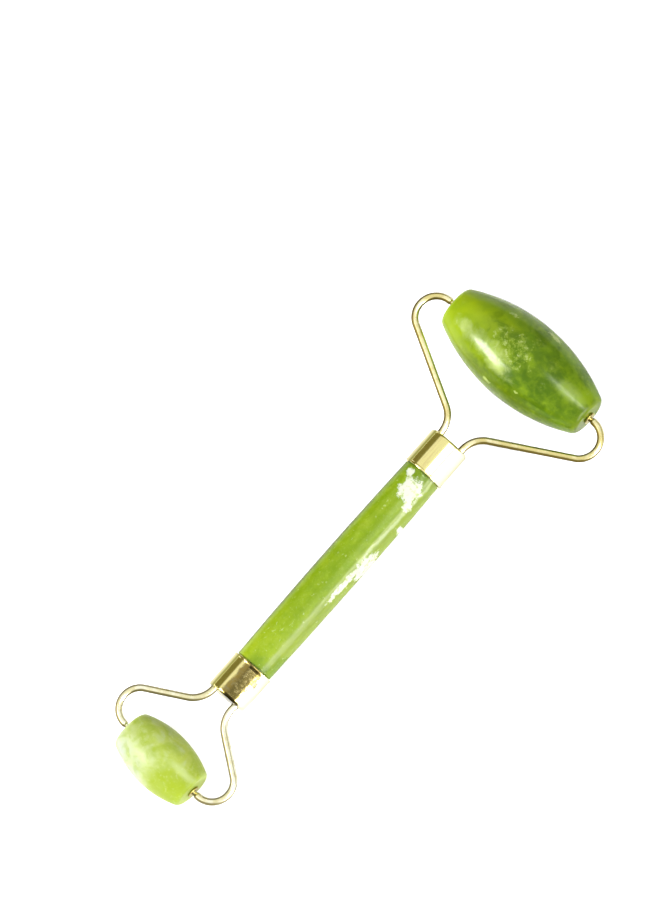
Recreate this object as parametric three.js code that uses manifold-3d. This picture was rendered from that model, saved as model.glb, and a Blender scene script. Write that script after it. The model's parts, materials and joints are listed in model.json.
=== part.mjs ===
// Double-ended stone face roller: a polished jade handle with a gold-plated ferrule on each end.
// Each ferrule holds a bent wire yoke, and each yoke carries one barrel-shaped stone roller.
// Units are millimetres. +Y runs along the handle to the large roller, +X along the large roller's
// axle and +Z up. The object lies on a table on its two rollers, which meet it at Z = 0.
import * as THREE from 'three';
import { mergeVertices } from 'three/addons/utils/BufferGeometryUtils.js';
import Module from 'manifold-3d';

const wasm = await Module();
wasm.setup();

// ---------------------------------------------------------------- driving dimensions

const ferruleSpacing = 70.5; // centre to centre, along the handle
const ferrule = {
  length: 9.8, radius: 5.25, wall: 0.35, plate: 0.6, shoulder: 0.7, lip: 0.1, lipLength: 0.6,
};
const handle = { middleRadius: 5.25, endRadius: 4.9, spigotRadius: 4.6, shoulderGap: 0.25, edge: 0.15 };

const wireRadius = 0.88;
const pinRadius = 0.6;
const pinDepth = 5.5; // how far a pin reaches past the stone's end face
const taperLength = 0.8; // where the wire narrows to its pin
const neck = { halfSpacing: 3.3, cornerHeight: 4.25, bendRadius: 6.5 };
const loopDepth = 1.0; // from the ferrule's outer face to the centre of the wire's hidden loop
const plugDepth = 6.2; // from the ferrule's outer face to the bottom of the adhesive plug

const fitGap = 0.15; // yoke wire in its ferrule hole
const layerGap = 0.2; // between the adhesive, the handle and the metal around them
const bondGap = 0.3;

const bush = { bore: 0.72, radius: 1.1, length: 6.0, flangeRadius: 1.6, flange: 0.4, seatGap: 0.1 };
const stoneBore = 1.25;

const large = {
  name: 'large', axleDistance: 25.7, halfWidth: 27.75, hookRadius: 5.05, lean: 0, shift: 0,
  stone: { halfLength: 21.1, radius: 10.3, crown: 45.4, edge: 1.8 },
};
// The small yoke is set a little crooked in its ferrule: it leans and sits off centre.
const small = {
  name: 'small', axleDistance: 21.0, halfWidth: 17.4, hookRadius: 5.0, lean: 4.2, shift: -0.35,
  stone: { halfLength: 10.7, radius: 7.4, crown: 25.0, edge: 1.4 },
};

const stoneSides = 40;
const ferruleSides = 40;
const handleSides = 36;
const wireSides = 10;
const bushSides = 16;

const ferruleFace = ferruleSpacing / 2 + ferrule.length / 2; // outer face of each end plate

// ---------------------------------------------------------------- materials

const finishes = {
  deepJade: { color: 0x6f8f22, roughness: 0.16, metalness: 0 },
  paleJade: { color: 0xb9cc58, roughness: 0.2, metalness: 0 },
  handleJade: { color: 0x94b52c, roughness: 0.18, metalness: 0 },
  gold: { color: 0xe0c878, roughness: 0.14, metalness: 1 },
  bushGold: { color: 0xd0b860, roughness: 0.25, metalness: 1 },
  adhesive: { color: 0xe8e2c8, roughness: 0.6, metalness: 0 },
};

function mesh(name, geometry, finish) {
  const piece = new THREE.Mesh(geometry, new THREE.MeshStandardMaterial(finishes[finish]));
  piece.name = name;
  return piece;
}

// ---------------------------------------------------------------- outlines and solids

// Points of an arc, angles in radians from +X. Each point is a Vector2.
function arc(x, y, radius, from, to, steps) {
  const points = [];
  for (let i = 0; i <= steps; i += 1) {
    const angle = from + ((to - from) * i) / steps;
    points.push(new THREE.Vector2(x + radius * Math.cos(angle), y + radius * Math.sin(angle)));
  }
  return points;
}

// A solid of revolution about Y. The outline closes on itself or starts and ends on the axis.
function turned(points, sides) {
  return new THREE.LatheGeometry(points, sides);
}

// A closed ring outline: the first point is repeated at the end.
function ring(points) {
  return [...points, points[0].clone()];
}

function toSolid(geometry) {
  const bare = geometry.clone();
  bare.deleteAttribute('normal');
  bare.deleteAttribute('uv');
  const welded = mergeVertices(bare, 1e-5);
  return new wasm.Manifold(new wasm.Mesh({
    numProp: 3,
    vertProperties: new Float32Array(welded.attributes.position.array),
    triVerts: new Uint32Array(welded.index.array),
  }));
}

function toGeometry(solid) {
  const result = solid.getMesh();
  const geometry = new THREE.BufferGeometry();
  geometry.setAttribute('position', new THREE.BufferAttribute(result.vertProperties, 3));
  geometry.setIndex(new THREE.BufferAttribute(result.triVerts, 1));
  geometry.computeVertexNormals();
  return geometry;
}

// A round bar from one point to another, which may narrow along its length.
function bar(from, to, startRadius, endRadius, sides) {
  const length = from.distanceTo(to);
  const geometry = new THREE.CylinderGeometry(endRadius, startRadius, length, sides);
  const direction = to.clone().sub(from).normalize();
  geometry.applyQuaternion(
    new THREE.Quaternion().setFromUnitVectors(new THREE.Vector3(0, 1, 0), direction));
  geometry.translate((from.x + to.x) / 2, (from.y + to.y) / 2, (from.z + to.z) / 2);
  return geometry;
}

// ---------------------------------------------------------------- handle and ferrules

// Jade rod, slightly fuller in the middle, with a spigot at each end that sits in a ferrule.
function makeHandle() {
  const mouth = ferruleFace - ferrule.length;
  const shoulder = mouth - handle.shoulderGap;
  const end = ferruleFace - plugDepth - layerGap;
  const rise = handle.middleRadius - handle.endRadius;
  const crown = (shoulder * shoulder + rise * rise) / (2 * rise);
  const halfAngle = Math.asin((shoulder - handle.edge) / crown);
  const points = [
    new THREE.Vector2(0, -end),
    new THREE.Vector2(handle.spigotRadius, -end),
    new THREE.Vector2(handle.spigotRadius, -shoulder),
    new THREE.Vector2(handle.endRadius - handle.edge, -shoulder),
    ...arc(handle.middleRadius - crown, 0, crown, -halfAngle, halfAngle, 10),
    new THREE.Vector2(handle.endRadius - handle.edge, shoulder),
    new THREE.Vector2(handle.spigotRadius, shoulder),
    new THREE.Vector2(handle.spigotRadius, end),
    new THREE.Vector2(0, end),
  ];
  return mesh('handle', turned(points, handleSides), 'handleJade');
}

// Drawn cup with a rounded shoulder, a rolled lip at its mouth and two holes for the yoke wire.
// Its end plate's outer face is at Y = 0 and its mouth faces -Y.
function makeFerrule(end) {
  const { length, radius, wall, plate, shoulder, lip, lipLength } = ferrule;
  const inside = radius - wall;
  const points = [
    new THREE.Vector2(0, -plate),
    new THREE.Vector2(inside, -plate),
    new THREE.Vector2(inside, -length),
    new THREE.Vector2(radius - lip, -length),
    new THREE.Vector2(radius + lip, -length + lipLength * 0.25),
    new THREE.Vector2(radius + lip, -length + lipLength * 0.75),
    new THREE.Vector2(radius, -length + lipLength),
    ...arc(radius - shoulder, -shoulder, shoulder, 0, Math.PI / 2, 4),
    new THREE.Vector2(0, 0),
  ];
  let solid = toSolid(turned(points, ferruleSides));
  for (const side of [-1, 1]) {
    const x = side * neck.halfSpacing;
    const hole = bar(
      new THREE.Vector3(x, -2 * plate, 0), new THREE.Vector3(x, plate, 0),
      wireRadius + fitGap, wireRadius + fitGap, wireSides * 2);
    solid = solid.subtract(toSolid(seat(hole, end)));
  }
  return mesh(`${end.name}_ferrule`, toGeometry(solid), 'gold');
}

// Moves geometry from the yoke's own frame to its crooked seat in the ferrule.
function seat(geometry, end) {
  geometry.rotateZ(THREE.MathUtils.degToRad(end.lean));
  geometry.translate(end.shift, 0, 0);
  return geometry;
}

// ---------------------------------------------------------------- yokes

class ArcCurve extends THREE.Curve {
  constructor(x, y, radius, from, to) {
    super();
    Object.assign(this, { x, y, radius, from, to });
  }

  getPoint(t, target = new THREE.Vector3()) {
    const angle = this.from + (this.to - this.from) * t;
    return target.set(
      this.x + this.radius * Math.cos(angle), this.y + this.radius * Math.sin(angle), 0);
  }
}

// Where the parts of a yoke's centre line meet, in the plane of the yoke. The neck leaves the
// ferrule along +Y, bends outward into a straight arm, and the arm runs tangent to the hook.
function yokeLayout(end) {
  const hookX = end.halfWidth - end.hookRadius;
  const hookY = end.axleDistance - end.hookRadius;
  const corner = new THREE.Vector2(neck.halfSpacing, neck.cornerHeight);
  const toHook = new THREE.Vector2(hookX, hookY).sub(corner);
  const armAngle = toHook.angle() - Math.asin(end.hookRadius / toHook.length());
  const turn = Math.PI / 2 - armAngle;
  const cut = neck.bendRadius * Math.tan(turn / 2);
  return {
    hookX,
    hookY,
    armAngle,
    bendX: neck.halfSpacing + neck.bendRadius,
    bendY: neck.cornerHeight - cut,
    armStart: new THREE.Vector2(Math.cos(armAngle), Math.sin(armAngle))
      .multiplyScalar(cut).add(corner),
    armEnd: new THREE.Vector2(
      hookX + end.hookRadius * Math.sin(armAngle), hookY - end.hookRadius * Math.cos(armAngle)),
  };
}

// Centre line of the whole wire, from the end of the left hook to the end of the right one.
function wirePath(end) {
  const at = yokeLayout(end);
  const half = Math.PI / 2;
  const point = (x, y) => new THREE.Vector3(x, y, 0);
  const path = new THREE.CurvePath();
  path.add(new ArcCurve(-at.hookX, at.hookY, end.hookRadius, half, 3 * half - at.armAngle));
  path.add(new THREE.LineCurve3(
    point(-at.armEnd.x, at.armEnd.y), point(-at.armStart.x, at.armStart.y)));
  path.add(new ArcCurve(-at.bendX, at.bendY, neck.bendRadius, half - at.armAngle, 0));
  path.add(new THREE.LineCurve3(
    point(-neck.halfSpacing, at.bendY), point(-neck.halfSpacing, -loopDepth)));
  path.add(new ArcCurve(0, -loopDepth, neck.halfSpacing, -Math.PI, 0));
  path.add(new THREE.LineCurve3(
    point(neck.halfSpacing, -loopDepth), point(neck.halfSpacing, at.bendY)));
  path.add(new ArcCurve(at.bendX, at.bendY, neck.bendRadius, Math.PI, half + at.armAngle));
  path.add(new THREE.LineCurve3(
    point(at.armStart.x, at.armStart.y), point(at.armEnd.x, at.armEnd.y)));
  path.add(new ArcCurve(at.hookX, at.hookY, end.hookRadius, at.armAngle - half, half));
  return path;
}

function circleShape(radius, sides) {
  return new THREE.Shape(arc(0, 0, radius, 0, 2 * Math.PI * (1 - 1 / sides), sides - 1));
}

// One bent wire: hidden loop, two arms and hooks, narrowed to a pin at each end.
function makeYoke(end) {
  const steps = Math.round(end.halfWidth * 2.6);
  const wire = new THREE.ExtrudeGeometry(
    circleShape(wireRadius, wireSides), { steps, extrudePath: wirePath(end) });
  let solid = toSolid(wire);
  const { hookX } = yokeLayout(end);
  const overlap = 0.4; // the taper starts inside the end of the hook
  const pinTip = end.stone.halfLength - pinDepth;
  const neckDown = hookX - taperLength;
  for (const side of [-1, 1]) {
    const on = (x) => new THREE.Vector3(side * x, end.axleDistance, 0);
    const taper = bar(on(hookX + overlap), on(neckDown), wireRadius * 0.98, pinRadius, wireSides);
    const pin = bar(on(neckDown + overlap), on(pinTip), pinRadius, pinRadius, wireSides);
    solid = solid.add(toSolid(taper)).add(toSolid(pin));
  }
  return mesh(`${end.name}_yoke`, seat(toGeometry(solid), end), 'gold');
}

// Set adhesive that fills the ferrule round the wire's loop and bonds the handle's end.
function makePlug(end) {
  const top = -ferrule.plate - layerGap;
  const radius = ferrule.radius - ferrule.wall - layerGap;
  const body = toSolid(bar(
    new THREE.Vector3(0, -plugDepth, 0), new THREE.Vector3(0, top, 0), radius, radius, handleSides));
  const loop = new THREE.CurvePath();
  const left = new THREE.Vector3(-neck.halfSpacing, -loopDepth, 0);
  const right = new THREE.Vector3(neck.halfSpacing, -loopDepth, 0);
  loop.add(new THREE.LineCurve3(left.clone().setY(ferrule.plate), left));
  loop.add(new ArcCurve(0, -loopDepth, neck.halfSpacing, -Math.PI, 0));
  loop.add(new THREE.LineCurve3(right, right.clone().setY(ferrule.plate)));
  const channel = new THREE.ExtrudeGeometry(
    circleShape(wireRadius + bondGap, wireSides), { steps: 20, extrudePath: loop });
  const solid = body.subtract(toSolid(seat(channel, end)));
  return mesh(`${end.name}_adhesive_plug`, toGeometry(solid), 'adhesive');
}

// ---------------------------------------------------------------- rollers

// Barrel-shaped stone about its own Y axis, drilled through, with flat ends and softened rims.
function makeStone(end) {
  const { halfLength, radius, crown, edge } = end.stone;
  const crownCentre = radius - crown;
  const filletX = crownCentre + Math.sqrt((crown - edge) ** 2 - (halfLength - edge) ** 2);
  const meet = Math.atan2(halfLength - edge, filletX - crownCentre);
  const quarter = Math.PI / 2;
  const rim = halfLength - edge;
  const points = ring([
    new THREE.Vector2(stoneBore, -halfLength),
    ...arc(filletX, -rim, edge, -quarter, -meet, 4),
    ...arc(crownCentre, 0, crown, -meet, meet, 12).slice(1, -1),
    ...arc(filletX, rim, edge, meet, quarter, 4),
    new THREE.Vector2(stoneBore, halfLength),
  ]);
  const finish = end === large ? 'deepJade' : 'paleJade';
  return mesh(`${end.name}_roller`, turned(points, stoneSides), finish);
}

// Flanged sleeve pressed into one end of the stone, its flange just clear of the end face.
function makeBush(end, sideName) {
  const seatY = end.stone.halfLength + bush.seatGap;
  const points = ring([
    new THREE.Vector2(bush.bore, seatY + bush.flange - bush.length),
    new THREE.Vector2(bush.radius, seatY + bush.flange - bush.length),
    new THREE.Vector2(bush.radius, seatY),
    new THREE.Vector2(bush.flangeRadius, seatY),
    new THREE.Vector2(bush.flangeRadius, seatY + bush.flange),
    new THREE.Vector2(bush.bore, seatY + bush.flange),
  ]);
  const piece = mesh(`${end.name}_${sideName}_bush`, turned(points, bushSides), 'bushGold');
  if (sideName === 'left') {
    piece.rotation.z = Math.PI;
  }
  return piece;
}

// A roller lies along its yoke's axle: the stone's own Y axis turned onto X.
function makeRoller(end) {
  const roller = new THREE.Group();
  roller.add(makeStone(end), makeBush(end, 'left'), makeBush(end, 'right'));
  roller.rotation.z = -Math.PI / 2;
  const axle = new THREE.Group();
  axle.add(roller);
  axle.position.y = end.axleDistance;
  const crooked = new THREE.Group();
  crooked.add(axle);
  crooked.rotation.z = THREE.MathUtils.degToRad(end.lean);
  crooked.position.x = end.shift;
  return crooked;
}

// ---------------------------------------------------------------- assembly

// Everything at one end, with the ferrule's outer face at Y = 0 and the roller out along +Y.
function makeEnd(end) {
  const group = new THREE.Group();
  group.add(makeFerrule(end), makePlug(end), makeYoke(end), makeRoller(end));
  return group;
}

const largeEnd = makeEnd(large);
largeEnd.position.y = ferruleFace;

const smallEnd = makeEnd(small);
smallEnd.rotation.x = Math.PI;
smallEnd.position.y = -ferruleFace;

const tool = new THREE.Group();
tool.add(makeHandle(), largeEnd, smallEnd);

// Both rollers touch the table, so the handle slopes down to the smaller one.
const leanAngle = THREE.MathUtils.degToRad(small.lean);
const axleSpan = 2 * ferruleFace + large.axleDistance + small.axleDistance * Math.cos(leanAngle);
tool.rotation.x = Math.asin((large.stone.radius - small.stone.radius) / axleSpan);

// The origin is under the middle of the object's box, on the table.
const bounds = new THREE.Box3().setFromObject(tool, true);
const centre = bounds.getCenter(new THREE.Vector3());
tool.position.set(-centre.x, -centre.y, -bounds.min.z);

const group = new THREE.Group();
group.add(tool);

export default group;
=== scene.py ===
"""Looks for the double-ended jade face roller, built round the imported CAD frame.

Lengths are in metres. Each end of the tool (ferrule, yoke, roller) is made in its own frame: the
ferrule's outer face is at Y = 0, the roller is out along +Y and the yoke lies in the XY plane.
"""
import json
import math

import bpy
from mathutils import Matrix, Vector, noise


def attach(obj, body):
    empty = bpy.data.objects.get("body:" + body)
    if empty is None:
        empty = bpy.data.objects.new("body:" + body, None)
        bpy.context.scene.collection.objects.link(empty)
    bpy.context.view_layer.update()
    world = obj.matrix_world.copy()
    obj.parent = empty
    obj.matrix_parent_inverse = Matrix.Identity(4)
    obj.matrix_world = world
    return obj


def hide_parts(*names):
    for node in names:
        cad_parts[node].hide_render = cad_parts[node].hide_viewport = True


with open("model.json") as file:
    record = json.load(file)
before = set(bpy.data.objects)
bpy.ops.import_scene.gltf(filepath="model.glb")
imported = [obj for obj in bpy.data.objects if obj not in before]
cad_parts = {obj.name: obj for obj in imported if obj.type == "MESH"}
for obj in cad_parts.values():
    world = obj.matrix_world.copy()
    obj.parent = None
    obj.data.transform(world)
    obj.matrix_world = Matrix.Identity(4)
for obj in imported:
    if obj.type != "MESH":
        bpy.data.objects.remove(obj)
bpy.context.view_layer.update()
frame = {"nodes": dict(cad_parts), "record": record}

MM = 0.001
UP = Vector((0, 0, 1))

# ---------------------------------------------------------------- sizes shared with the CAD frame

FERRULE_LENGTH = 9.8 * MM
FERRULE_RADIUS = 5.25 * MM
FERRULE_WALL = 0.35 * MM
FERRULE_PLATE = 0.6 * MM
FERRULE_SHOULDER = 0.7 * MM
LIP_RISE = 0.1 * MM
LIP_LENGTH = 0.6 * MM
HANDLE_MIDDLE_RADIUS = 5.25 * MM
HANDLE_END_RADIUS = 4.9 * MM
SPIGOT_RADIUS = 4.6 * MM
SHOULDER_GAP = 0.25 * MM
HANDLE_EDGE = 0.15 * MM
FACE_TO_FACE = 80.3 * MM  # between the ferrules' outer faces
SPIGOT_END = 6.4 * MM  # from a ferrule's outer face to the handle's end

WIRE_RADIUS = 0.88 * MM
PIN_RADIUS = 0.6 * MM
PIN_DEPTH = 5.5 * MM
TAPER_LENGTH = 0.8 * MM
NECK_HALF_SPACING = 3.3 * MM
NECK_CORNER = 4.25 * MM
NECK_BEND_RADIUS = 6.5 * MM
LOOP_DEPTH = 1.0 * MM

BUSH_BORE = 0.72 * MM
BUSH_RADIUS = 1.1 * MM
BUSH_LENGTH = 6.0 * MM
BUSH_FLANGE_RADIUS = 1.6 * MM
BUSH_FLANGE = 0.4 * MM
BUSH_SEAT_GAP = 0.1 * MM
STONE_BORE = 1.25 * MM
STONE_CHAMFER = 0.18 * MM

# Of each end: the axle is measured from the ferrule's outer face, half_width from the yoke's middle
# to the centre of its wire, and hook is the radius of its hooks. The yoke leans and shifts in its
# ferrule. The stone's barrel is an arc of radius crown, and edge rounds its two rims.
# The large yoke is 0.05 mm narrower on each side than the CAD frame's, whose faceted wire is a little
# thinner, so that the smooth wire stays inside the same box.
ENDS = {
    "large": dict(
        axle=25.7 * MM, half_width=27.70 * MM, hook=5.05 * MM, lean=0.0, shift=0.0,
        half_length=21.1 * MM, radius=10.3 * MM, crown=45.4 * MM, edge=1.8 * MM,
        jade="deep_jade", seed=3.1),
    "small": dict(
        axle=21.0 * MM, half_width=17.4 * MM, hook=5.0 * MM, lean=math.radians(4.2), shift=-0.35 * MM,
        half_length=10.7 * MM, radius=7.4 * MM, crown=25.0 * MM, edge=1.4 * MM,
        jade="pale_jade", seed=7.7),
}

# ---------------------------------------------------------------- where the ends are

plate = frame["record"]["mounts"][0]  # the part's one mount, on the large ferrule's outer face
large_face = Vector(plate["pos_m"])
along = Vector(plate["axis"]).normalized()
small_face = large_face - along * FACE_TO_FACE
right = Vector((1, 0, 0))


def placed(origin, x_axis, y_axis):
    """Matrix that takes local X and Y to the given directions, with its origin at a point."""
    z_axis = x_axis.cross(y_axis)
    turn = Matrix((x_axis, y_axis, z_axis)).transposed().to_4x4()
    return Matrix.Translation(origin) @ turn


HANDLE_FRAME = placed((large_face + small_face) / 2, right, along)
END_FRAME = {
    "large": placed(large_face, right, along),
    "small": placed(small_face, right, -along),
}


def yoke_frame(end):
    """The yoke's own frame, which may sit off centre and lean in its ferrule."""
    size = ENDS[end]
    seat = Matrix.Translation((size["shift"], 0, 0)) @ Matrix.Rotation(size["lean"], 4, "Z")
    return END_FRAME[end] @ seat


def roller_frame(end):
    """Centre of the stone, X along its axle."""
    return yoke_frame(end) @ Matrix.Translation((0, ENDS[end]["axle"], 0))


# ---------------------------------------------------------------- mesh tools

SHARP_ANGLE = math.radians(40)  # edges that turn by more are shaded sharp
FILLET_STEPS = 5
ON_AXIS = 1e-9  # an outline point closer to the axis than this lies on it


def arc(x, y, radius, start, stop, steps):
    """Points of an arc, angles in radians from +X."""
    turns = [start + (stop - start) * i / steps for i in range(steps + 1)]
    return [(x + radius * math.cos(a), y + radius * math.sin(a)) for a in turns]


def line(start, stop, steps):
    """Points of a straight line, without its start."""
    return [tuple(a + (b - a) * i / steps for a, b in zip(start, stop)) for i in range(1, steps + 1)]


def fillet(before, corner, after, radius):
    """Points that round the corner of an outline with an arc of a given radius."""
    p, c, q = Vector(before), Vector(corner), Vector(after)
    u, v = (p - c).normalized(), (q - c).normalized()
    half = u.angle(v) / 2
    reach = radius / math.tan(half)
    middle = c + (u + v).normalized() * (radius / math.sin(half))
    first, last = c + u * reach - middle, c + v * reach - middle
    sweep = first.angle_signed(last)
    points = []
    for i in range(FILLET_STEPS + 1):
        a = -sweep * i / FILLET_STEPS
        ca, sa = math.cos(a), math.sin(a)
        points.append((middle.x + first.x * ca - first.y * sa, middle.y + first.x * sa + first.y * ca))
    return points


def rounded(corners, closed):
    """An outline from (along, out, radius) corners, each rounded by its own radius."""
    points = []
    count = len(corners)
    for i, (x, y, radius) in enumerate(corners):
        if radius == 0 or (not closed and i in (0, count - 1)):
            points.append((x, y))
            continue
        before = corners[i - 1][:2]
        after = corners[(i + 1) % count][:2]
        points.extend(fillet(before, (x, y), after, radius))
    return points


def make_object(name, vertices, faces, matrix):
    """Mesh object with its origin at the matrix's place. Its axes stay the world's, so the turn is
    put into the mesh."""
    turn = matrix.to_3x3()
    mesh = bpy.data.meshes.new(name)
    mesh.from_pydata([tuple(turn @ Vector(v)) for v in vertices], [], faces)
    mesh.validate()
    mesh.update()
    for polygon in mesh.polygons:
        polygon.use_smooth = True
    mesh.set_sharp_from_angle(angle=SHARP_ANGLE)
    piece = bpy.data.objects.new(name, mesh)
    bpy.context.scene.collection.objects.link(piece)
    piece.location = matrix.translation
    return piece


def bridged(low, high, sides):
    """Faces between two rings of vertices, either of which may be a single one on the axis."""
    faces = []
    for k in range(sides):
        n = (k + 1) % sides
        quad = [low[k % len(low)], low[n % len(low)], high[n % len(high)], high[k % len(high)]]
        face = list(dict.fromkeys(quad))
        if len(face) > 2:
            faces.append(face[::-1])
    return faces


def turned(name, outline, sides, matrix, axis, closed=False, shape=None):
    """Solid of revolution about the matrix's X or Y axis. The outline is (along, out) points. An
    open outline starts and ends on the axis. shape(along, out, angle) may return a changed distance
    from the axis."""
    vertices, rings = [], []
    for x, r in outline:
        if r < ON_AXIS:
            rings.append([len(vertices)])
            vertices.append((x, 0.0, 0.0))
            continue
        rings.append(list(range(len(vertices), len(vertices) + sides)))
        for k in range(sides):
            a = 2 * math.pi * k / sides
            out = shape(x, r, a) if shape else r
            vertices.append((x, out * math.cos(a), out * math.sin(a)))
    pairs = list(zip(rings, rings[1:]))
    if closed:
        pairs.append((rings[-1], rings[0]))
    faces = [face for low, high in pairs for face in bridged(low, high, sides)]
    if axis == "Y":
        vertices = [(z, x, y) for x, y, z in vertices]
    return make_object(name, vertices, faces, matrix)


def swept(name, path, sides, matrix):
    """A round wire through (x, y, radius) stations in the XY plane, with a flat face on each end."""
    vertices, faces = [], []
    points = [Vector((x, y, 0)) for x, y, r in path]
    for i, (x, y, r) in enumerate(path):
        ahead = points[min(i + 1, len(points) - 1)] - points[max(i - 1, 0)]
        side = UP.cross(ahead).normalized()
        for k in range(sides):
            a = 2 * math.pi * k / sides
            vertices.append(points[i] + side * (r * math.cos(a)) + UP * (r * math.sin(a)))
    for i in range(len(path) - 1):
        for k in range(sides):
            n = (k + 1) % sides
            a, b = i * sides, (i + 1) * sides
            faces.append([a + k, a + n, b + n, b + k])
    faces.append(list(range(sides))[::-1])
    last = (len(path) - 1) * sides
    faces.append(list(range(last, last + sides)))
    return make_object(name, vertices, faces, matrix)


# ---------------------------------------------------------------- material tools

# Numbers of a Mix node's colour sockets. Their names repeat, so numbers are the way to them.
MIX_AMOUNT, MIX_A, MIX_B = 0, 6, 7
MIX_RESULT = 2


class Nodes:
    """Short calls for building one procedural node tree. Values in it are numbers or sockets."""

    def __init__(self, tree):
        self.tree = tree

    @classmethod
    def for_material(cls, name, metallic=0.0):
        """The tree of a new material with one Principled shader."""
        material = bpy.data.materials.new(name)
        material.use_nodes = True
        n = cls(material.node_tree)
        n.material = material
        n.tree.nodes.clear()
        output = n.tree.nodes.new("ShaderNodeOutputMaterial")
        n.shader = n.tree.nodes.new("ShaderNodeBsdfPrincipled")
        n.shader.inputs["Metallic"].default_value = metallic
        n.plug(n.shader.outputs["BSDF"], output.inputs["Surface"])
        return n

    def plug(self, value, socket):
        """Links a socket, or sets a number or a colour."""
        if isinstance(value, bpy.types.NodeSocket):
            self.tree.links.new(value, socket)
        else:
            socket.default_value = value

    def add(self, kind, inputs, output, **settings):
        """Adds a node, fills its inputs, and returns the named or numbered output."""
        node = self.tree.nodes.new(kind)
        for name, value in settings.items():
            setattr(node, name, value)
        for key, value in inputs.items():
            self.plug(value, node.inputs[key])
        return node.outputs[output]

    def place(self, scale=(1, 1, 1), shift=(0, 0, 0)):
        """Where a point is from the piece's origin, in millimetres along the axes that the world has
        at rest. A scale stretches it and a shift moves it, for a pattern unlike the others."""
        own = self.add("ShaderNodeTexCoord", {}, "Object")
        inputs = {"Vector": own, "Scale": [s / MM for s in scale], "Location": shift}
        return self.add("ShaderNodeMapping", inputs, "Vector")

    def axes(self, vector):
        """The X, Y and Z of a vector."""
        node = self.tree.nodes.new("ShaderNodeSeparateXYZ")
        self.plug(vector, node.inputs[0])
        return tuple(node.outputs)

    def noise(self, vector, size, detail, rough=0.5, distortion=0.0):
        """Cloudy noise, mostly 0.3 to 0.7, whose lumps are about size millimetres across."""
        return self.add("ShaderNodeTexNoise", {
            "Vector": vector, "Scale": 1 / size, "Detail": detail, "Roughness": rough,
            "Distortion": distortion}, "Fac")

    def swing(self, vector, width, size, detail, rough=0.5, distortion=0.0):
        """The same noise, but it swings to either side of 0, over a whole range of width."""
        return self.level(self.noise(vector, size, detail, rough, distortion), -width / 2, width)

    def cells(self, vector, size):
        """Distance to the nearest of scattered points about size millimetres apart, in sizes."""
        return self.add("ShaderNodeTexVoronoi", {"Vector": vector, "Scale": 1 / size}, "Distance")

    def near(self, vector, centre, radii):
        """1 at a centre, falling to 0 on an ellipsoid of the given radii, in millimetres."""
        offset = self.vector_math("SUBTRACT", "Vector", vector, centre)
        scaled = self.vector_math("DIVIDE", "Vector", offset, radii)
        return self.math("SUBTRACT", 1.0, self.vector_math("LENGTH", "Value", scaled))

    def nearest(self, vector, spots):
        """The greatest of near() over several spots, each a centre and radii."""
        return self.greatest(*(self.near(vector, centre, radii) for centre, radii in spots))

    def math(self, kind, *values):
        """A Math node of one kind."""
        return self.add("ShaderNodeMath", dict(enumerate(values)), 0, operation=kind)

    def vector_math(self, kind, output, *values):
        """A Vector Math node of one kind, whose output is Vector or Value."""
        return self.add("ShaderNodeVectorMath", dict(enumerate(values)), output, operation=kind)

    def level(self, value, low, rise):
        """Low where the value is 0, and a rise above that where it is 1."""
        return self.math("MULTIPLY_ADD", value, rise, low)

    def plus(self, a, b, share=1.0):
        """a and a share of b."""
        return self.math("MULTIPLY_ADD", b, share, a)

    def product(self, first, *others):
        """All the values multiplied."""
        for other in others:
            first = self.math("MULTIPLY", first, other)
        return first

    def greatest(self, first, *others):
        """The greatest of the values."""
        for other in others:
            first = self.math("MAXIMUM", first, other)
        return first

    def away(self, value, other):
        """How far a value is from another, on either side."""
        return self.math("ABSOLUTE", self.math("SUBTRACT", value, other))

    def step(self, value, low, high):
        """0 below low and 1 above high, smooth between. High may be the lower of the two."""
        flip = high < low
        return self.add("ShaderNodeMapRange", {
            "Value": value, "From Min": min(low, high), "From Max": max(low, high),
            "To Min": float(flip), "To Max": float(not flip),
        }, "Result", interpolation_type="SMOOTHSTEP")

    def between(self, value, a, b, c, d):
        """0 up to a, 1 from b to c, and 0 again past d, smooth between."""
        return self.product(self.step(value, a, b), self.step(value, d, c))

    def mix(self, amount, a, b):
        """Colour a where the amount is 0, and b where it is 1."""
        a, b = ((*colour, 1) if isinstance(colour, tuple) else colour for colour in (a, b))
        inputs = {MIX_AMOUNT: amount, MIX_A: a, MIX_B: b}
        return self.add("ShaderNodeMix", inputs, MIX_RESULT, data_type="RGBA")

    def tint(self, body, mask, strength, colour):
        """The body's colour, with as much of another as the strength says where the mask is 1."""
        return self.mix(self.product(mask, strength), body, colour)

    def ramp(self, value, stops):
        """Colour that goes through (position, colour) stops, positions from 0 to 1."""
        node = self.tree.nodes.new("ShaderNodeValToRGB")
        self.plug(value, node.inputs["Fac"])
        elements = node.color_ramp.elements
        while len(elements) < len(stops):
            elements.new(0.5)
        for element, (position, colour) in zip(elements, stops):
            element.position = position
            element.color = (*colour, 1)
        return node.outputs["Color"]

    def finish(self, colour, roughness, relief, depth, strength):
        """Plugs in the surface's looks. A relief of 0 to 1 stands for a depth in metres."""
        bump = {"Height": relief, "Distance": depth, "Strength": strength}
        self.plug(colour, self.shader.inputs["Base Color"])
        self.plug(roughness, self.shader.inputs["Roughness"])
        self.plug(self.add("ShaderNodeBump", bump, "Normal"), self.shader.inputs["Normal"])
        return self.material


def srgb(r, g, b):
    """A colour given on the usual 0 to 255 scale, as linear light."""
    def linear(v):
        v /= 255
        return v / 12.92 if v <= 0.04045 else ((v + 0.055) / 1.055) ** 2.4
    return (linear(r), linear(g), linear(b))


STUDIO_LEVEL = 2.0  # how much brighter than its own colour a pale matt thing looks in this light


def seen(r, g, b):
    """The surface colour of something that looks like this, 0 to 255, in the studio's light."""
    return tuple(v / STUDIO_LEVEL for v in srgb(r, g, b))


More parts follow.
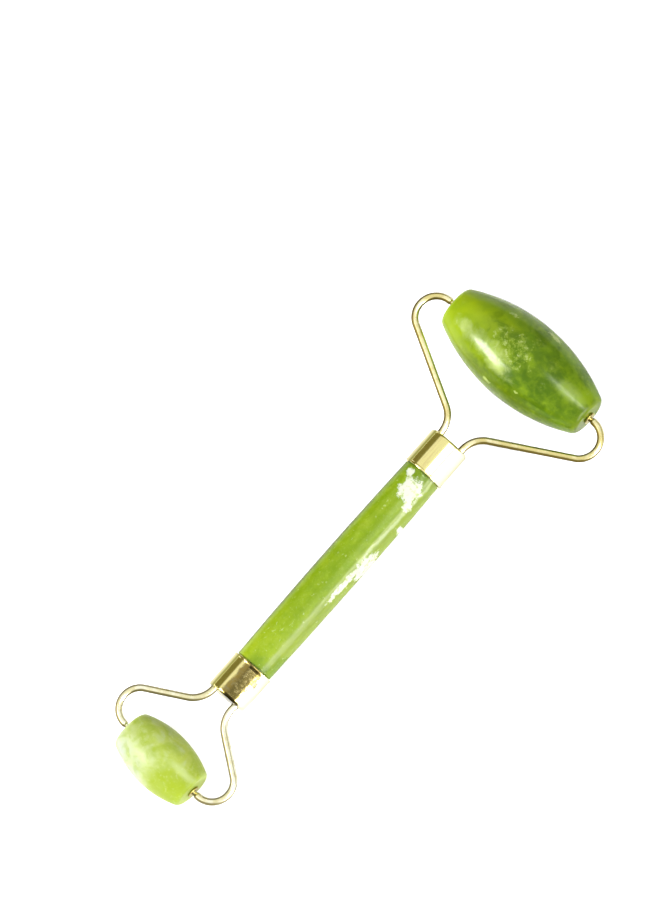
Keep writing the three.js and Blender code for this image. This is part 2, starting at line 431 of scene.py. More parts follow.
# ---------------------------------------------------------------- jade
# A mark in the stone is a mask times a strength. Where a mask depends on x, y or z, its limits are
# places on the piece in millimetres, and noise is added to the place to make its border ragged.

JADE_IOR = 1.6
SCATTER_RADIUS = (0.9, 1.0, 0.25)  # red, green and blue, in shares of the scatter depth
SCATTER_DEPTH = 3.0 * MM
STONE_RELIEF = 0.03 * MM
STONE_BUMP = 0.6
DEEP_SPREAD = 44  # length that the large stone's run of colours covers, in millimetres
PALE_SPREAD = 20  # the same on the small stone

MILK_AND_HIGHLIGHT = (  # centre and radii of the large stone's milky patches, in millimetres from its middle; they also carry a painted highlight
    ((-7.6, -3.8, 9.2), (10.5, 3.2, 4.5)),
    ((-1.5, -5.6, 7.8), (6.0, 2.5, 4.5)),
    ((-15.0, -3.0, 8.0), (5.0, 2.2, 4.0)),
)
HAZE_AND_HIGHLIGHT = ((15.0, 0.7, 7.5), (8.5, 2.4, 4.5))  # the same for the haze near its right end, partly a painted highlight
FLECKS = ((-2.0, -0.8, 9.5), (9.5, 6.5, 5.5))  # for its cluster of flecks
DASHES = (  # and for its short pale dashes near the two edges
    ((3.6, 8.6, 4.8), (3.0, 1.3, 1.8)),
    ((-2.6, -9.2, 4.2), (2.2, 0.6, 1.2)),
    ((5.4, -7.4, 6.8), (1.1, 0.6, 0.9)),
    ((-7.5, 6.5, 7.5), (2.2, 0.9, 1.4)),
)
RIPE = ((7.2, -4.0, 4.0), (9.0, 6.5, 8.0))  # the small stone's deep yellow-green part
STREAK_AND_HIGHLIGHT = ((7.2, 0.6, 6.4), (6.0, 1.5, 4.0))  # its milky streak near the right end, partly a painted highlight
CALCITE = (  # the handle's white patches, from the handle's middle
    ((-1.4, 28.4, 4.8), (1.1, 1.1, 1.2)),
    ((1.3, 24.9, 4.9), (2.5, 3.2, 2.4)),
    ((3.1, 21.9, 4.0), (1.3, 1.7, 1.6)),
    ((5.1, 16.5, 0.5), (1.9, 1.2, 2.5)),
    ((4.8, 4.9, 1.9), (2.2, 3.9, 2.5)),
    ((4.0, -1.8, 3.1), (0.8, 6.0, 0.9)),
)
VEIN_X = 3.7  # how far to the right of the middle the handle's milky vein runs, in millimetres


def jade(name, gloss):
    """Material of a polished, slightly translucent stone, still without its markings."""
    n = Nodes.for_material(name)
    shader = n.shader.inputs
    shader["IOR"].default_value = JADE_IOR
    shader["Specular IOR Level"].default_value = gloss
    shader["Subsurface Weight"].default_value = 1.0
    shader["Subsurface Radius"].default_value = SCATTER_RADIUS
    shader["Subsurface Scale"].default_value = SCATTER_DEPTH
    return n


def deep_jade_ground(n, place, x, y):
    """Yellow-green at the left end and deep green past the middle, with milky and dark clouds, painted
    highlights and painted shade.
    """
    drift = n.swing(place, 20.0, 8, 5, 0.6, 0.6)
    moved = n.plus(x, drift)
    body = n.ramp(n.level(moved, 0.5, 1 / DEEP_SPREAD), [
        (0.02, seen(176, 200, 24)), (0.2, seen(162, 188, 32)), (0.36, seen(138, 165, 18)),
        (0.5, seen(98, 132, 6)), (0.68, seen(92, 125, 2)), (0.84, seen(104, 134, 2)),
        (0.96, seen(142, 168, 20))])
    flank = n.step(n.plus(y, drift, 0.3), 1.5, 7.0)
    body = n.tint(body, flank, 0.75, seen(122, 158, 34))
    # painted shade on the front half, right of the middle
    shade = n.product(n.step(y, 1.5, -2.5), n.step(moved, -7.0, 3.0))
    body = n.tint(body, shade, 0.55, seen(68, 102, 0))
    # milky patches, partly a painted highlight about the softbox's highlight
    milk_and_highlight = n.plus(n.nearest(place, MILK_AND_HIGHLIGHT), n.swing(place, 1.4, 3.0, 5, 0.6, 0.8))
    body = n.tint(body, n.step(milk_and_highlight, 0.05, 0.7), 0.85, seen(202, 219, 132))
    # haze near the right end, partly a painted highlight
    haze_and_highlight = n.plus(n.near(place, *HAZE_AND_HIGHLIGHT), drift, 0.04)
    body = n.tint(body, n.step(haze_and_highlight, 0.0, 0.7), 0.55, seen(172, 196, 104))
    cloud = n.noise(place, 3.8, 3, 0.5, 0.4)
    body = n.tint(body, n.step(cloud, 0.4, 0.7), 0.55, seen(144, 174, 24))
    moss = n.step(n.noise(n.place(shift=(7, 3, 9)), 4.0, 4, 0.5, 0.4), 0.42, 0.66)
    body = n.tint(body, n.product(moss, n.step(x, -17.0, -6.0)), 0.62, seen(74, 108, 0))
    # painted shade along the front lower edge
    shaded_low_edge = n.step(n.plus(y, drift, 0.15), -6.0, -8.5)
    return n.tint(body, shaded_low_edge, 0.6, seen(104, 126, 16))


def deep_jade_flecks(n, place, body):
    """Mist and pale flecks in a ragged cluster and a few strays, and dashes near the edges. Returns
    the new colour and the flecks' mask."""
    cluster = n.plus(n.near(place, *FLECKS), n.swing(place, 1.5, 2.4, 4, 0.6))
    stray = n.product(n.noise(n.place(shift=(5, 5, 5)), 4.0, 2), 0.52)
    chosen = n.step(n.greatest(stray, cluster), 0.3, 0.5)
    crumb = n.noise(n.place(shift=(2, 5, 4)), 0.9, 4, 0.65)
    mist = n.product(n.step(crumb, 0.46, 0.62), chosen)
    body = n.tint(body, mist, 0.55, seen(172, 196, 76))
    ragged_cells = n.plus(n.cells(place, 1.8), crumb, 1.9)
    fleck = n.product(n.step(ragged_cells, 1.36, 0.98), chosen)
    dash = n.plus(n.nearest(place, DASHES), crumb, 2.2)
    fleck = n.greatest(fleck, n.step(dash, 1.4, 1.8))
    return n.tint(body, fleck, 0.66, seen(208, 224, 128)), fleck


def deep_jade():
    """Olive jade of the large stone, with pale flecks and painted shade on its right end face."""
    n = jade("deep_jade", gloss=0.13)
    place = n.place()
    x, y, _ = n.axes(place)
    grain = n.noise(place, 1.2, 4, 0.6)
    body = deep_jade_ground(n, place, x, y)
    body = n.tint(body, n.step(grain, 0.45, 0.7), 0.22, seen(156, 184, 30))
    body, fleck = deep_jade_flecks(n, place, body)
    # painted shade on the right end face
    body = n.tint(body, n.step(x, 19.8, 21.0), 0.75, seen(112, 132, 2))
    polish = n.level(grain, 0.1, 0.16)
    relief = n.plus(n.noise(place, 2.2, 3), fleck, -0.3)
    return n.finish(body, polish, relief, STONE_RELIEF, STONE_BUMP)


def pale_jade():
    """Pale yellow-green jade with milky clouds, milkier low on its left and front sides partly as a
    painted highlight, and painted shade on its right end.
    """
    n = jade("pale_jade", gloss=0.09)
    place = n.place()
    x, y, _ = n.axes(place)
    drift = n.swing(place, 10.0, 6, 4, 0.55, 0.5)
    # the milkier low left and front is partly a painted highlight, on the side toward the softbox
    across = n.plus(n.plus(y, drift, 0.5), x, 0.45)
    body = n.ramp(n.level(across, 0.5, 1 / PALE_SPREAD), [
        (0.08, seen(204, 212, 194)), (0.27, seen(198, 209, 146)), (0.42, seen(174, 193, 84)),
        (0.55, seen(188, 205, 98)), (0.8, seen(190, 206, 94))])
    cloud = n.noise(place, 3.2, 4, 0.5, 0.5)
    body = n.tint(body, n.step(cloud, 0.43, 0.65), 0.62, seen(200, 213, 150))
    deeper = n.noise(n.place(shift=(4, 9, 2)), 3.8, 4, 0.5, 0.5)
    body = n.tint(body, n.step(deeper, 0.45, 0.62), 0.5, seen(158, 182, 40))
    ripe = n.plus(n.near(place, *RIPE), drift, 0.05)
    body = n.tint(body, n.step(ripe, 0.0, 0.55), 0.8, seen(158, 178, 26))
    # milky streak near the right end, partly a painted highlight
    streak = n.plus(n.near(place, *STREAK_AND_HIGHLIGHT), drift, 0.06)
    body = n.tint(body, n.step(streak, 0.0, 0.7), 0.6, seen(206, 220, 150))
    # painted shade on the right end
    body = n.tint(body, n.step(x, 9.6, 10.7), 0.35, seen(160, 178, 60))
    grain = n.noise(place, 0.9, 6, 0.6)
    body = n.tint(body, n.step(grain, 0.5, 0.75), 0.3, seen(220, 230, 160))
    polish = n.level(grain, 0.3, 0.16)
    return n.finish(body, polish, n.noise(place, 2.0, 3), STONE_RELIEF, STONE_BUMP)


def handle_ground(n, place, x, ragged_y, grain):
    """Mottled yellow-green, warm toward the small end, mossy at the large end, with a painted
    reflection making it pale on the right and painted shade along its left edge.
    """
    cloud = n.noise(n.place((1, 0.6, 1)), 3.6, 5, 0.6, 0.6)
    body = n.ramp(cloud, [
        (0.3, seen(130, 162, 16)), (0.5, seen(143, 173, 26)), (0.7, seen(158, 184, 40))])
    body = n.tint(body, n.step(n.away(x, 1.0), 1.6, 0.5), 0.4, seen(122, 154, 12))
    body = n.tint(body, n.step(ragged_y, -2.0, -24.0), 0.75, seen(178, 200, 42))
    body = n.tint(body, n.step(ragged_y, 31.0, 38.0), 0.8, seen(112, 142, 24))
    mottle = n.noise(n.place((1, 0.8, 1), (9, 2, 4)), 1.6, 5, 0.65)
    body = n.tint(body, n.step(mottle, 0.52, 0.7), 0.35, seen(176, 200, 62))
    body = n.tint(body, n.step(mottle, 0.48, 0.32), 0.45, seen(122, 156, 10))
    body = n.tint(body, n.step(grain, 0.5, 0.75), 0.38, seen(192, 210, 90))
    # painted reflection: paler on the right side
    painted_reflection = n.step(n.plus(x, n.noise(place, 4, 3), 1.6), 2.9, 4.2)
    body = n.tint(body, painted_reflection, 0.6, seen(162, 178, 84))
    mouth = n.product(n.step(ragged_y, -14.0, -20.0), n.step(x, -2.0, 0.5))
    body = n.tint(body, mouth, 0.75, seen(118, 152, 30))
    # painted shade along the left edge
    return n.tint(body, n.step(x, -3.7, -4.7), 0.85, seen(90, 100, 30))


def handle_vein(n, place, x, ragged_y, z):
    """Mask of the thin milky vein that wanders along the top right of the large end's half."""
    wander = n.swing(place, 2.4, 7, 4, 0.6)
    vein = n.step(n.away(n.plus(x, wander), VEIN_X), 0.45, 0.1)
    return n.product(vein, n.step(ragged_y, 8.0, 14.0), n.step(z, 1.0, 2.0))


def handle_jade():
    """Bright yellow-green jade with pale specks, a milky vein and ragged patches of white calcite."""
    n = jade("handle_jade", gloss=0.14)
    place = n.place()
    x, y, z = n.axes(place)
    ragged_y = n.plus(y, n.noise(place, 8, 3), 16.0)
    grain = n.noise(place, 0.6, 6, 0.7)
    body = handle_ground(n, place, x, ragged_y, grain)
    speck = n.step(n.noise(n.place((1, 0.7, 1), (3, 1, 6)), 0.9, 4, 0.6, 0.3), 0.61, 0.72)
    body = n.tint(body, speck, 0.6, seen(210, 224, 140))
    body = n.tint(body, handle_vein(n, place, x, ragged_y, z), 0.6, seen(214, 226, 168))
    patches = n.plus(n.nearest(place, CALCITE), n.swing(place, 2.2, 1.5, 6, 0.7))
    calcite = n.step(patches, -0.1, 0.16)
    stain = n.step(n.noise(place, 1.0, 3), 0.5, 0.68)
    white = n.mix(stain, seen(243, 246, 232), seen(196, 210, 148))
    body = n.tint(body, calcite, 0.92, white)
    polish = n.plus(n.level(grain, 0.1, 0.14), calcite, 0.25)
    relief = n.plus(n.noise(place, 2.4, 3), calcite, -0.4)
    return n.finish(body, polish, relief, STONE_RELIEF, STONE_BUMP)


# ---------------------------------------------------------------- metal, glue and table

METAL_RELIEF = 0.01 * MM
METAL_BUMP = 0.4
WIRE_BUMP = 0.3
GLUE_RELIEF = 0.05 * MM
GLUE_BUMP = 0.5
UNSHADED_FACING = (0.25, 0.33, 0.91)  # the way the wires face where they are left unshaded; painted shade darkens the sides turned from it

# Colours of bare metal, as linear red, green and blue. A pair is mixed by noise or by place.
SOUND_GOLD = ((0.84, 0.75, 0.30), (0.92, 0.84, 0.36))
STREAKED_GOLD = (0.74, 0.58, 0.24)
# painted reflections: a dark one for the ferrules' left sides and a bright one for their right sides
DARK_REFLECTION_GOLD = ((0.24, 0.225, 0.04), (0.66, 0.60, 0.30))
BRIGHT_REFLECTION_GOLD = (0.95, 0.90, 0.62)
BROWN_GOLD = ((0.25, 0.175, 0.034), (0.085, 0.062, 0.012))
BROWN_SPOTS = (0.24, 0.195, 0.08)
# painted dark reflection for the small ferrule's corner beside the lip and round the yoke's holes
PAINTED_DARK_REFLECTION = (0.035, 0.026, 0.006)
BRASS = ((0.36, 0.29, 0.07), (0.55, 0.46, 0.14))

GLUE = (srgb(196, 188, 160), srgb(216, 210, 188))
PAPER = ((0.93, 0.93, 0.925), (0.95, 0.95, 0.945))
PAPER_TO_OBJECT = (0.55, 0.55, 0.54)  # as every ray but the camera's sees it
PAPER_GLOSS = 0.2


def pale_gold(n, place):
    """Colour of the ferrules' plating where it is sound."""
    return n.mix(n.noise(place, 3, 3), *SOUND_GOLD)


def painted_side_reflections(n, metal, x):
    """A painted dark reflection low on a ferrule's left side and a painted bright reflection on its
    right.
    """
    # painted dark reflection on the left side and painted bright reflection on the right
    dark_reflection = n.mix(n.step(x, -3.7, -4.5), *DARK_REFLECTION_GOLD)
    metal = n.mix(n.step(x, 3.2, 4.4), metal, BRIGHT_REFLECTION_GOLD)
    return n.mix(n.step(x, -3.2, -3.5), metal, dark_reflection)


def plating_polish(n, place):
    """Roughness of the ferrules' plating."""
    return n.level(n.noise(place, 0.7, 5, 0.6), 0.06, 0.12)


def gold_plate():
    """Bright pale gold plating, faintly streaked along the ferrule from polishing, with painted
    reflections on its sides.
    """
    n = Nodes.for_material("gold_plate", metallic=1.0)
    place = n.place()
    x, _, _ = n.axes(place)
    streak = n.noise(n.place((1, 0.12, 1), (2, 6, 1)), 0.9, 4, 0.6)
    metal = n.tint(pale_gold(n, place), n.step(streak, 0.5, 0.68), 0.4, STREAKED_GOLD)
    relief = n.noise(place, 2.5, 2)
    return n.finish(painted_side_reflections(n, metal, x), plating_polish(n, place), relief, METAL_RELIEF, METAL_BUMP)


def worn_gold():
    """Pale gold plating that has gone brown in a ragged band along the top, with painted dark
    reflections in the corner beside the lip and round the yoke's holes, and on its sides."""
    n = Nodes.for_material("worn_gold", metallic=1.0)
    place = n.place()
    x, y, z = n.axes(place)
    metal = painted_side_reflections(n, pale_gold(n, place), x)
    ragged = n.swing(n.place((1, 0.7, 1)), 5.0, 1.6, 5, 0.65)
    right_edge = n.step(n.plus(n.plus(x, ragged), y, -0.12), 3.2, 2.7)
    left_edge = n.step(n.plus(x, ragged, 0.35), -1.3, -0.6)
    band = n.product(left_edge, right_edge, n.step(z, 0.0, 1.5))
    brown = n.mix(n.step(x, -0.4, 1.2), *BROWN_GOLD)
    spots = n.step(n.noise(place, 1.0, 5, 0.7), 0.46, 0.64)
    metal = n.tint(metal, band, 0.94, n.mix(spots, brown, BROWN_SPOTS))
    inner_edge = n.step(n.plus(y, n.noise(place, 2.0, 3, 0.6), 0.5), 8.8, 9.0)
    # painted dark reflection in the corner beside the lip and on the end near the yoke's holes
    corner = n.product(inner_edge, n.step(y, 9.35, 9.2), n.between(x, 0.2, 0.8, 3.3, 4.1))
    plate_dark_reflection = n.product(n.step(y, 0.75, 0.55), n.between(x, -0.4, 0.4, 3.8, 4.4))
    metal = n.mix(n.greatest(corner, plate_dark_reflection), metal, PAINTED_DARK_REFLECTION)
    polish = n.plus(plating_polish(n, place), band, 0.1)
    return n.finish(metal, polish, n.noise(place, 2.5, 2), METAL_RELIEF, METAL_BUMP)


def gold_wire(name, bright, rich, flank):
    """Drawn wire with painted shade and dark reflections along its sides, which are also rougher than
    its top.
    """
    n = Nodes.for_material(name, metallic=1.0)
    place = n.place()
    metal = n.mix(n.step(n.noise(place, 4, 4, 0.55), 0.4, 0.6), rich, bright)
    normal = n.add("ShaderNodeNewGeometry", {}, "Normal")
    facing = n.math("ABSOLUTE", n.vector_math("DOT_PRODUCT", "Value", normal, UNSHADED_FACING))
    # painted shade: where the wire's sides turn away from the top, they take the flank colour
    side = n.step(n.plus(facing, n.swing(place, 0.16, 2.5, 3)), 0.86, 0.66)
    polish = n.plus(n.level(n.noise(place, 3, 3), 0.1, 0.12), side, 0.4)
    metal = n.mix(side, metal, flank)
    return n.finish(metal, polish, n.noise(place, 3.0, 2), METAL_RELIEF, WIRE_BUMP)


def bush_brass():
    """Brass that still shows the fine rings of its turning, across the bush's length."""
    n = Nodes.for_material("bush_brass", metallic=1.0)
    rings = n.noise(n.place((9, 1, 1)), 0.5, 4, 0.6)
    relief = n.noise(n.place(), 0.3, 2)
    return n.finish(
        n.mix(rings, *BRASS), n.level(rings, 0.15, 0.2), relief, METAL_RELIEF / 2, METAL_BUMP)


def adhesive():
    """Set epoxy, cloudy and slightly uneven."""
    n = Nodes.for_material("adhesive")
    cloud = n.noise(n.place(), 1.4, 5, 0.6)
    return n.finish(
        n.mix(cloud, *GLUE), n.level(cloud, 0.3, 0.3), cloud, GLUE_RELIEF, GLUE_BUMP)


def studio_white():
    """Matt table surface with a faint paper tooth. It is bright to the camera, but throws less light
    up at the object."""
    n = Nodes.for_material("studio_white")
    tooth = n.noise(n.place(), 3, 3)
    to_camera = n.add("ShaderNodeLightPath", {}, "Is Camera Ray")
    paper = n.mix(to_camera, PAPER_TO_OBJECT, n.mix(tooth, *PAPER))
    n.plug(paper, n.shader.inputs["Base Color"])
    n.plug(n.level(tooth, 0.55, 0.2), n.shader.inputs["Roughness"])
    n.shader.inputs["Specular IOR Level"].default_value = PAPER_GLOSS
    return n.material


MATERIALS = {
    "deep_jade": deep_jade(), "pale_jade": pale_jade(), "handle_jade": handle_jade(),
    "gold_plate": gold_plate(), "bush_brass": bush_brass(), "adhesive": adhesive(),
}
FERRULE_GOLD = {"large": MATERIALS["gold_plate"], "small": worn_gold()}
# flank is the colour of each wire's painted shade along its sides
WIRE_GOLD = {
    "large": gold_wire(
        "large_wire", bright=(0.96, 0.89, 0.54), rich=(0.80, 0.70, 0.3), flank=(0.115, 0.088, 0.02)),
    "small": gold_wire(
        "small_wire", bright=(0.97, 0.94, 0.72), rich=(0.86, 0.80, 0.48), flank=(0.18, 0.155, 0.07)),
}


def finished(piece, slot, body, *nodes, material=None):
    """Gives a piece its body and the slot's material or another, and hides the CAD nodes that it
    stands for."""
    piece.data.materials.append(material or MATERIALS[slot])
    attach(piece, body)
    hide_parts(*nodes)


# ---------------------------------------------------------------- stones and handle

STONE_SIDES = 160
BARREL_STEPS = 84
RIM_STEPS = 10
STONE_WAVE = (0.06 * MM, 6 * MM)  # depth and size of the unevenness
BUSH_SIDES = 48
BUSH_SOFT = 0.08 * MM  # rounding of a bush's edges
HANDLE_SIDES = 128
HANDLE_STEPS = 120
HANDLE_WAVE = (0.05 * MM, 9 * MM)
HANDLE_SEED = 1.3


def waviness(seed, depth, size):
    """Slight unevenness of hand-polished stone, which only ever takes material away."""
    def shape(x, r, a):
        spot = Vector((x, r * math.cos(a), r * math.sin(a))) / size
        lump = noise.noise(spot + Vector((seed, seed * 2, seed * 3)))
        return r - depth * (0.5 + 0.5 * lump)
    return shape


def stone_outline(half, radius, crown, edge):
    """Closed outline of a barrel with rounded rims and a chamfered bore."""
    centre = radius - crown
    fillet_out = centre + math.sqrt((crown - edge) ** 2 - (half - edge) ** 2)
    meet = math.atan2(half - edge, fillet_out - centre)
    barrel = arc(0, centre, crown, math.pi / 2 + meet, math.pi / 2 - meet, BARREL_STEPS)
    rim = arc(half - edge, fillet_out, edge, math.pi / 2 - meet, 0, RIM_STEPS)
    left_rim = [(-x, r) for x, r in reversed(rim)]
    mouth = STONE_BORE + STONE_CHAMFER
    inner = half - STONE_CHAMFER
    bore = [(half, mouth), (inner, STONE_BORE), (-inner, STONE_BORE), (-half, mouth)]
    return left_rim + barrel[1:-1] + rim + bore


def make_stone(end):
    """Barrel-shaped stone, polished by hand outside and drilled true."""
    size = ENDS[end]
    outline = stone_outline(size["half_length"], size["radius"], size["crown"], size["edge"])
    wave = waviness(size["seed"], *STONE_WAVE)

    def shape(x, r, a):
        return wave(x, r, a) if r > 2 * STONE_BORE else r
    stone = turned(
        f"{end}_roller_stone", outline, STONE_SIDES, roller_frame(end), "X", True, shape)
    finished(stone, size["jade"], f"{end}_roller", f"{end}_roller")


def make_bush(end, side):
    """Flanged sleeve, pushed into one end of a stone's bore."""
    seat = ENDS[end]["half_length"] + BUSH_SEAT_GAP
    tip = seat + BUSH_FLANGE
    inner = tip - BUSH_LENGTH
    outline = rounded([
        (inner, BUSH_BORE, BUSH_SOFT), (inner, BUSH_RADIUS, BUSH_SOFT),
        (seat, BUSH_RADIUS, 0), (seat, BUSH_FLANGE_RADIUS, BUSH_SOFT),
        (tip, BUSH_FLANGE_RADIUS, 1.6 * BUSH_SOFT), (tip, BUSH_BORE, BUSH_SOFT)], True)
    turn = Matrix.Rotation(math.pi if side == "left" else 0, 4, "Z")
    bush = turned(
        f"{end}_{side}_bush_sleeve", outline, BUSH_SIDES, roller_frame(end) @ turn, "X", True)
    finished(bush, "bush_brass", f"{end}_roller", f"{end}_{side}_bush")


def make_handle():
    """Rod that swells slightly toward its middle, with a turned-down spigot on each end."""
    mouth = FACE_TO_FACE / 2 - FERRULE_LENGTH
    shoulder = mouth - SHOULDER_GAP
    tip = FACE_TO_FACE / 2 - SPIGOT_END
    rise = HANDLE_MIDDLE_RADIUS - HANDLE_END_RADIUS
    crown = (shoulder ** 2 + rise ** 2) / (2 * rise)
    reach = math.asin((shoulder - HANDLE_EDGE) / crown)
    top = math.pi / 2
    middle = arc(0, HANDLE_MIDDLE_RADIUS - crown, crown, top + reach, top - reach, HANDLE_STEPS)
    last = (shoulder, HANDLE_END_RADIUS - 2 * HANDLE_EDGE)
    edge = fillet(middle[-2], (shoulder, middle[-1][1]), last, HANDLE_EDGE)
    spigot = rounded([
        (*last, 0), (shoulder, SPIGOT_RADIUS, 0),
        (tip, SPIGOT_RADIUS, HANDLE_EDGE), (tip, 0, 0)], False)
    right_end = edge + spigot[1:]
    left_end = [(-x, r) for x, r in reversed(right_end)]
    handle = turned(
        "handle_rod", left_end + middle[1:-1] + right_end, HANDLE_SIDES, HANDLE_FRAME, "Y",
        shape=waviness(HANDLE_SEED, *HANDLE_WAVE))
    finished(handle, "handle_jade", "frame", "handle")


# ---------------------------------------------------------------- metalwork

FERRULE_SIDES = 160
MOUTH_SOFT = 0.12 * MM  # rounding of the ferrule's mouth and of the lip's root
LIP_SOFT = 0.16 * MM
PLATE_SOFT = 0.2 * MM  # rounding inside, round the end plate
LIP_FLAT = 0.75  # share of the lip's length before it slopes down

WIRE_SIDES = 48
TAPER_STEPS = 8
HOOK_STEPS = 56
ARM_STEPS = 16
NECK_STEPS = 28
LOOP_STEPS = 20
TIP_LENGTH = 0.2 * MM  # of the pin's blunt point
TIP_SHARE = 0.7  # its end's radius, as a share of the pin's
PIN_REST = 0.1 * MM  # between the last station of the plain pin and the taper


def make_ferrule(end):
    """Drawn cup with a rolled lip. Its origin is on the end plate's outer face."""
    inside = FERRULE_RADIUS - FERRULE_WALL
    lip_radius = FERRULE_RADIUS + LIP_RISE
    mouth = -FERRULE_LENGTH
    outline = rounded([
        (-FERRULE_PLATE, 0, 0),
        (-FERRULE_PLATE, inside, PLATE_SOFT),
        (mouth, inside, MOUTH_SOFT),
        (mouth, lip_radius, LIP_SOFT),
        (mouth + LIP_LENGTH * LIP_FLAT, lip_radius, LIP_SOFT),
        (mouth + LIP_LENGTH, FERRULE_RADIUS, MOUTH_SOFT),
        (0, FERRULE_RADIUS, FERRULE_SHOULDER),
        (0, 0, 0)], False)
    cup = turned(f"{end}_ferrule_cup", outline, FERRULE_SIDES, END_FRAME[end], "Y")
    finished(cup, "gold_plate", "frame", f"{end}_ferrule", material=FERRULE_GOLD[end])


def pin_stations(tip, neck_down, y):
    """Stations of a pin along the axle at y, out to where its taper has become the full wire."""
    stations = [(tip, y, PIN_RADIUS * TIP_SHARE), (tip + TIP_LENGTH, y, PIN_RADIUS)]
    stations.append((neck_down - PIN_REST, y, PIN_RADIUS))
    for i in range(TAPER_STEPS + 1):
        t = i / TAPER_STEPS
        ease = t * t * (3 - 2 * t)
        radius = PIN_RADIUS + (WIRE_RADIUS - PIN_RADIUS) * ease
        stations.append((neck_down + TAPER_LENGTH * t, y, radius))
    return stations


def yoke_path(end):
    """Stations (x, y, radius) along the wire, from one pin's tip to the other's."""
    size = ENDS[end]
    hook_x = size["half_width"] - size["hook"]
    hook_y = size["axle"] - size["hook"]
    corner = Vector((NECK_HALF_SPACING, NECK_CORNER))
    to_hook = Vector((hook_x, hook_y)) - corner
    slope = math.atan2(to_hook.y, to_hook.x) - math.asin(size["hook"] / to_hook.length)
    reach = NECK_BEND_RADIUS * math.tan((math.pi / 2 - slope) / 2)
    bend_x, bend_y = NECK_HALF_SPACING + NECK_BEND_RADIUS, NECK_CORNER - reach

    pin = pin_stations(size["half_length"] - PIN_DEPTH, hook_x - TAPER_LENGTH, size["axle"])
    hook = arc(hook_x, hook_y, size["hook"], math.pi / 2, slope - math.pi / 2, HOOK_STEPS)[1:]
    stop = (corner.x + reach * math.cos(slope), corner.y + reach * math.sin(slope))
    arm = line(hook[-1], stop, ARM_STEPS)
    bend = arc(bend_x, bend_y, NECK_BEND_RADIUS, math.pi / 2 + slope, math.pi, NECK_STEPS)[1:]
    loop = arc(0, -LOOP_DEPTH, NECK_HALF_SPACING, 0, -math.pi / 2, LOOP_STEPS)
    half = pin + [(x, y, WIRE_RADIUS) for x, y in hook + arm + bend + loop]
    return half + [(-x, y, r) for x, y, r in reversed(half[:-1])]


def make_yoke(end):
    """One bent wire: a loop hidden in the ferrule, two arms, two hooks and two pins."""
    wire = swept(f"{end}_yoke_wire", yoke_path(end), WIRE_SIDES, yoke_frame(end))
    finished(wire, "gold_plate", "frame", f"{end}_yoke", material=WIRE_GOLD[end])


make_handle()
for end_name in ENDS:
    make_ferrule(end_name)
    make_yoke(end_name)
    make_stone(end_name)
    for side_name in ("left", "right"):
        make_bush(end_name, side_name)
    plug = frame["nodes"][f"{end_name}_adhesive_plug"]
    plug.data.materials.clear()
    plug.data.materials.append(MATERIALS["adhesive"])

# ---------------------------------------------------------------- table, light and camera

TABLE_HALF = 1.6  # half its width
TABLE_DEPTH = 0.02

SOFTBOX_TOWARDS = Vector((-0.455, -0.63, 0.63))  # the way to it from the object
SOFTBOX_DISTANCE = 0.8
SOFTBOX_SIZE = (0.32, 0.26)
SOFTBOX_POWER = 12.2

WALL_LEVEL = 1.0  # how bright the room's parts are: the others add to the wall's
GLOW_LEVEL = 1.7
WINDOW_LEVEL = 6.0
PANE_LEVEL = 10.0  # the pane adds to the window's
SKYLIGHT_LEVEL = 12.0
DIM_ROOM = (0.23, 0.21, 0.08)
BACKDROP = (1.0, 1.0, 1.0)

VIEW = Vector((0.22, -0.10, 0.0))  # sideways part of the direction from the object to the camera
VIEW.z = math.sqrt(1 - VIEW.length_squared)
HANDLE_SLOPE = math.radians(48.37)  # how steeply the handle climbs to the right in the picture
PICTURE_HEIGHT = 212.45 * MM  # height of the picture at the object
AIM_RIGHT = -5.27 * MM  # from the handle's middle to the picture's, in the picture
AIM_UP = 27.45 * MM
AIM_HEIGHT = 9 * MM  # above the table
LENS = 600.0  # the lens and the sensor are in millimetres
SENSOR = 36.0
CLIP_END = 20


def make_table():
    """Slab with its top at Z = 0."""
    h, d = TABLE_HALF, TABLE_DEPTH
    corners = [(x, y, z) for z in (-d, 0) for y in (-h, h) for x in (-h, h)]
    faces = [(0, 2, 3, 1), (4, 5, 7, 6), (0, 1, 5, 4), (2, 6, 7, 3), (0, 4, 6, 2), (1, 3, 7, 5)]
    table = make_object("table", corners, faces, Matrix.Identity(4))
    table.data.materials.append(studio_white())


def make_softbox():
    """Softbox out to the left, facing the object."""
    data = bpy.data.lights.new("left_softbox", "AREA")
    data.shape = "RECTANGLE"
    data.size, data.size_y = SOFTBOX_SIZE
    data.energy = SOFTBOX_POWER
    lamp = bpy.data.objects.new("left_softbox", data)
    bpy.context.scene.collection.objects.link(lamp)
    direction = SOFTBOX_TOWARDS.normalized()
    lamp.location = direction * SOFTBOX_DISTANCE
    lamp.rotation_euler = direction.to_track_quat("Z", "Y").to_euler()


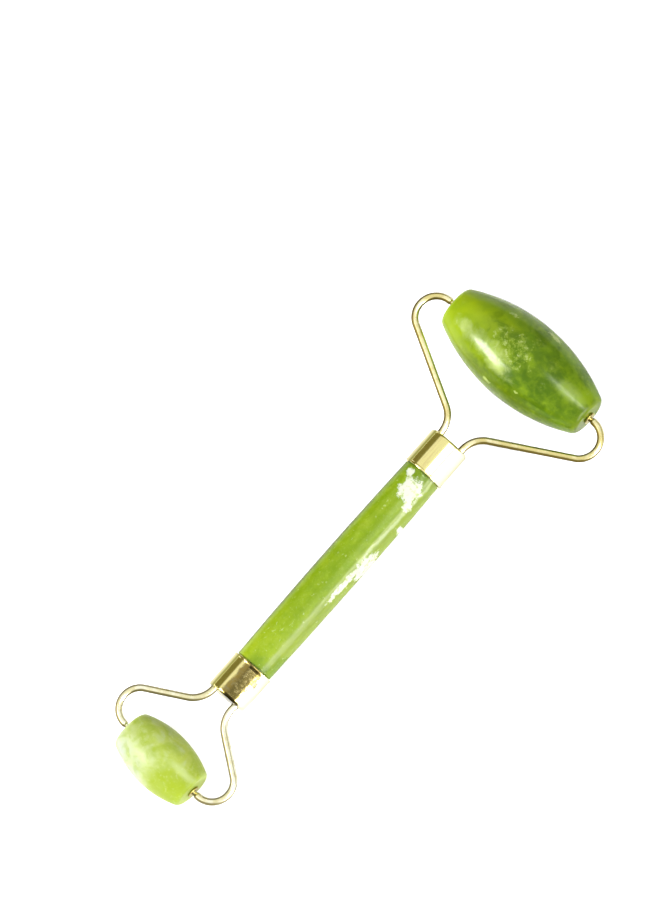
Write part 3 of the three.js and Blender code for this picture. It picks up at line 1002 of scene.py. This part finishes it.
def room_light(n, x, y):
    """Brightness of a pale room, by direction: a glow, a big window on the right with one brighter
    pane, and a narrow skylight above."""
    glow = n.product(n.step(x, 0.0, 0.5), GLOW_LEVEL, n.between(y, -0.08, 0.06, 0.28, 0.42))
    window = n.product(n.step(x, 0.8, 0.88), WINDOW_LEVEL)
    window = n.plus(window, n.between(x, 0.84, 0.88, 0.9, 0.93), PANE_LEVEL)
    window = n.product(window, n.between(y, -0.6, -0.45, 0.28, 0.42))
    skylight = n.product(n.between(y, 0.07, 0.14, 0.22, 0.29), n.between(x, 0.14, 0.3, 0.6, 0.72))
    return n.plus(n.plus(window, glow), n.level(skylight, WALL_LEVEL, SKYLIGHT_LEVEL))


def make_world():
    """Studio surround. It is dim just above the horizon, at the back and higher up on the left. The
    camera itself sees a plain white backdrop. Here x, y and z are the parts of a direction, from -1
    to 1, with +X on the right, +Y at the back and +Z up."""
    world = bpy.data.worlds.new("studio")
    bpy.context.scene.world = world
    world.use_nodes = True
    n = Nodes(world.node_tree)
    x, y, z = n.axes(n.add("ShaderNodeTexCoord", {}, "Generated"))
    corner = n.product(n.step(x, -0.15, -0.45), n.step(z, 0.66, 0.58))
    horizon = n.product(n.step(x, 0.6, 0.3), n.step(z, 0.24, 0.12))
    back_wall = n.product(n.step(y, 0.55, 0.75), n.step(z, 0.7, 0.55))
    dim = n.greatest(corner, horizon, n.product(back_wall, 0.7))
    room = n.mix(dim, room_light(n, x, y), DIM_ROOM)
    colour = n.mix(n.add("ShaderNodeLightPath", {}, "Is Camera Ray"), room, BACKDROP)
    n.plug(colour, n.tree.nodes["Background"].inputs["Color"])


def make_camera():
    """Long lens almost overhead, turned so that the handle climbs to the right."""
    handle_way = (Vector((0, 1, 0)) - VIEW * VIEW.y).normalized()  # as the camera sees it
    across = handle_way.cross(VIEW)
    picture_right = handle_way * math.cos(HANDLE_SLOPE) + across * math.sin(HANDLE_SLOPE)
    picture_up = handle_way * math.sin(HANDLE_SLOPE) - across * math.cos(HANDLE_SLOPE)
    aim = picture_right * AIM_RIGHT + picture_up * AIM_UP
    aim += VIEW * ((AIM_HEIGHT - aim.z) / VIEW.z)
    data = bpy.data.cameras.new("camera")
    data.lens = LENS
    data.sensor_width = SENSOR
    data.clip_end = CLIP_END
    camera = bpy.data.objects.new("camera", data)
    bpy.context.scene.collection.objects.link(camera)
    distance = PICTURE_HEIGHT * LENS / SENSOR
    turn = Matrix((picture_right, picture_up, VIEW)).transposed().to_4x4()
    camera.matrix_world = Matrix.Translation(aim + VIEW * distance) @ turn
    bpy.context.scene.camera = camera


make_table()
make_world()
make_softbox()
make_camera()
bpy.context.scene.view_settings.view_transform = "Standard"
